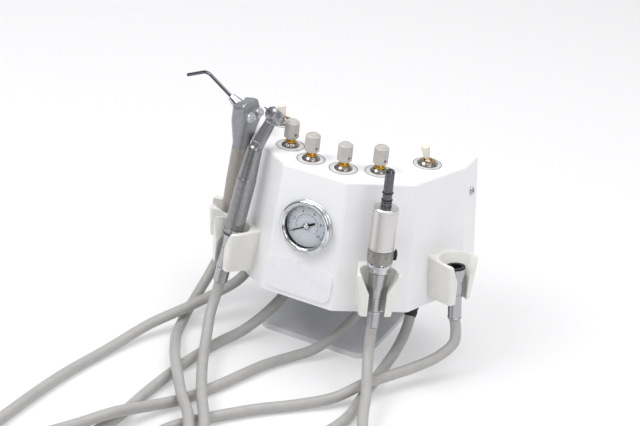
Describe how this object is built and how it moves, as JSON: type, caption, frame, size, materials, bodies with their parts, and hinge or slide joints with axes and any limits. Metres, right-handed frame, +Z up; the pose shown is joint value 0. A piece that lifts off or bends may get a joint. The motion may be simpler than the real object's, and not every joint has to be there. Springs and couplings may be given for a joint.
{
  "type": "portable dental unit",
  "caption": "Portable dental treatment unit: faceted control box with gauge, flow knobs and toggles, and holders carrying a syringe, handpiece, air motor and spare hose coupling.",
  "frame": {"origin": "middle of the underside of the foot pad, on the surface the unit stands on", "axes": "+Z up, -Y is the front with the gauge, +X is to the right seen from the front"},
  "size_m": [0.2887, 0.7059, 0.2128],
  "materials": {
    "white_paint": "satin",
    "plate_white": "satin",
    "label_white": "matte",
    "steel_sheet": "brushed",
    "stand_paint": "satin",
    "foot_rubber": "matte",
    "screw_steel": "polished",
    "gauge_black": "satin",
    "gauge_chrome": "polished",
    "dial_face": "matte",
    "needle_black": "matte",
    "lens_glass": "clear",
    "knob_grey": "satin",
    "valve_brass": "machined",
    "nut_chrome": "polished",
    "lever_ivory": "satin",
    "holder_white": "satin",
    "syringe_grey": "satin",
    "syringe_metal": "satin",
    "collar_chrome": "polished",
    "nozzle_steel": "satin",
    "button_metal": "polished",
    "coupling_chrome": "polished",
    "handpiece_metal": "satin",
    "bur_steel": "satin",
    "motor_satin": "satin",
    "motor_bright": "machined",
    "ring_grey": "satin",
    "seal_black": "matte",
    "gland_black": "matte",
    "inlet_brass": "machined",
    "manifold_metal": "machined",
    "tube_clear": "satin",
    "hose_grey": "satin"
  },
  "bodies": {
    "unit": {"housing_shell": "white_paint", "chassis": "steel_sheet", "stand_bracket": "stand_paint", "foot_pad": "foot_rubber", "screws": "screw_steel", "label_plate": "plate_white", "control_labels": "label_white", "gauge_case": "gauge_black", "gauge_bezel": "gauge_chrome", "gauge_dial": "dial_face", "gauge_lens": "lens_glass", "needle_valves": "valve_brass", "panel_nuts": "nut_chrome", "toggle_valves": "valve_brass", "holder_1": "holder_white", "holder_2": "holder_white", "holder_3": "holder_white", "holder_4": "holder_white", "syringe_handle": "syringe_grey", "syringe_head": "syringe_metal", "syringe_collar": "collar_chrome", "handpiece_coupling": "coupling_chrome", "handpiece_sleeve": "handpiece_metal", "handpiece_head": "handpiece_metal", "motor_coupling": "motor_bright", "motor_sleeve": "motor_satin", "motor_spigot": "coupling_chrome", "spare_coupling": "motor_bright", "seal_rings": "seal_black", "hose_glands": "gland_black", "inlet_connectors": "inlet_brass", "manifold_block": "manifold_metal", "internal_tubes": "tube_clear", "syringe_hose_out": "hose_grey", "syringe_hose_coil": "hose_grey", "syringe_hose_back": "hose_grey", "handpiece_hose_out": "hose_grey", "handpiece_hose_coil": "hose_grey", "handpiece_hose_back": "hose_grey", "spare_hose_out": "hose_grey", "spare_hose_coil": "hose_grey", "spare_hose_back": "hose_grey", "motor_hose_out": "hose_grey", "motor_hose_coil": "hose_grey", "motor_hose_back": "hose_grey"},
    "knob_1": {"knob_1": "knob_grey"},
    "knob_2": {"knob_2": "knob_grey"},
    "knob_3": {"knob_3": "knob_grey"},
    "knob_4": {"knob_4": "knob_grey"},
    "toggle_left": {"toggle_lever_left": "lever_ivory"},
    "toggle_right": {"toggle_lever_right": "lever_ivory"},
    "needle": {"gauge_needle": "needle_black"},
    "button_air": {"syringe_button_air": "button_metal"},
    "button_water": {"syringe_button_water": "button_metal"},
    "nozzle": {"syringe_nozzle": "nozzle_steel"},
    "push_cap": {"handpiece_push_cap": "collar_chrome"},
    "bur": {"handpiece_bur": "bur_steel"},
    "motor_ring": {"motor_ring": "ring_grey"},
    "drive_dog": {"motor_drive_dog": "bur_steel"}
  },
  "joints": [
    {"name": "knob_1_turn", "type": "hinge", "parent": "unit", "child": "knob_1", "pos_m": [-0.04, -0.0363, 0.1774], "axis": [0, 0, 1], "range_deg": [-540, 540]},
    {"name": "knob_2_turn", "type": "hinge", "parent": "unit", "child": "knob_2", "pos_m": [-0.0145, -0.0498, 0.1774], "axis": [0, 0, 1], "range_deg": [-540, 540]},
    {"name": "knob_3_turn", "type": "hinge", "parent": "unit", "child": "knob_3", "pos_m": [0.0145, -0.0498, 0.1774], "axis": [0, 0, 1], "range_deg": [-540, 540]},
    {"name": "knob_4_turn", "type": "hinge", "parent": "unit", "child": "knob_4", "pos_m": [0.04, -0.0363, 0.1774], "axis": [0, 0, 1], "range_deg": [-540, 540]},
    {"name": "toggle_left_throw", "type": "hinge", "parent": "unit", "child": "toggle_left", "pos_m": [-0.0658, 0.0023, 0.1714], "axis": [0, 1, 0], "range_deg": [0, 32]},
    {"name": "toggle_right_throw", "type": "hinge", "parent": "unit", "child": "toggle_right", "pos_m": [0.0658, 0.0023, 0.1714], "axis": [0, 1, 0], "range_deg": [0, 32]},
    {"name": "gauge_needle_swing", "type": "hinge", "parent": "unit", "child": "needle", "pos_m": [0, -0.07493, 0.1248], "axis": [0, 0.9941, -0.1084], "range_deg": [0, 240], "stiffness_Nm_per_rad": 0.0001},
    {"name": "button_air_press", "type": "slide", "parent": "unit", "child": "button_air", "axis": [-0.6692, 0.1783, -0.7214], "range_m": [0, 0.0019], "stiffness_N_per_m": 400, "springref_m": -0.001},
    {"name": "button_water_press", "type": "slide", "parent": "unit", "child": "button_water", "axis": [-0.6692, 0.1783, -0.7214], "range_m": [0, 0.0019], "stiffness_N_per_m": 400, "springref_m": -0.001},
    {"name": "nozzle_swivel", "type": "hinge", "parent": "unit", "child": "nozzle", "pos_m": [-0.08883, -0.03735, 0.19253], "axis": [-0.8585, 0.0853, 0.5056], "continuous": true},
    {"name": "push_cap_press", "type": "slide", "parent": "unit", "child": "push_cap", "axis": [-0.4186, -0.6211, 0.6626], "range_m": [0, 0.0005], "stiffness_N_per_m": 1000, "springref_m": -0.0005},
    {"name": "bur_spin", "type": "hinge", "parent": "unit", "child": "bur", "pos_m": [-0.04952, -0.0523, 0.19935], "axis": [-0.4186, -0.6211, 0.6626], "continuous": true},
    {"name": "motor_ring_turn", "type": "hinge", "parent": "unit", "child": "motor_ring", "pos_m": [0.06555, -0.07609, 0.11994], "axis": [-0.0244, 0.0362, 0.999], "range_deg": [-35, 35]},
    {"name": "drive_dog_spin", "type": "hinge", "parent": "unit", "child": "drive_dog", "pos_m": [0.06405, -0.07386, 0.18138], "axis": [-0.0244, 0.0362, 0.999], "continuous": true}
  ]
}
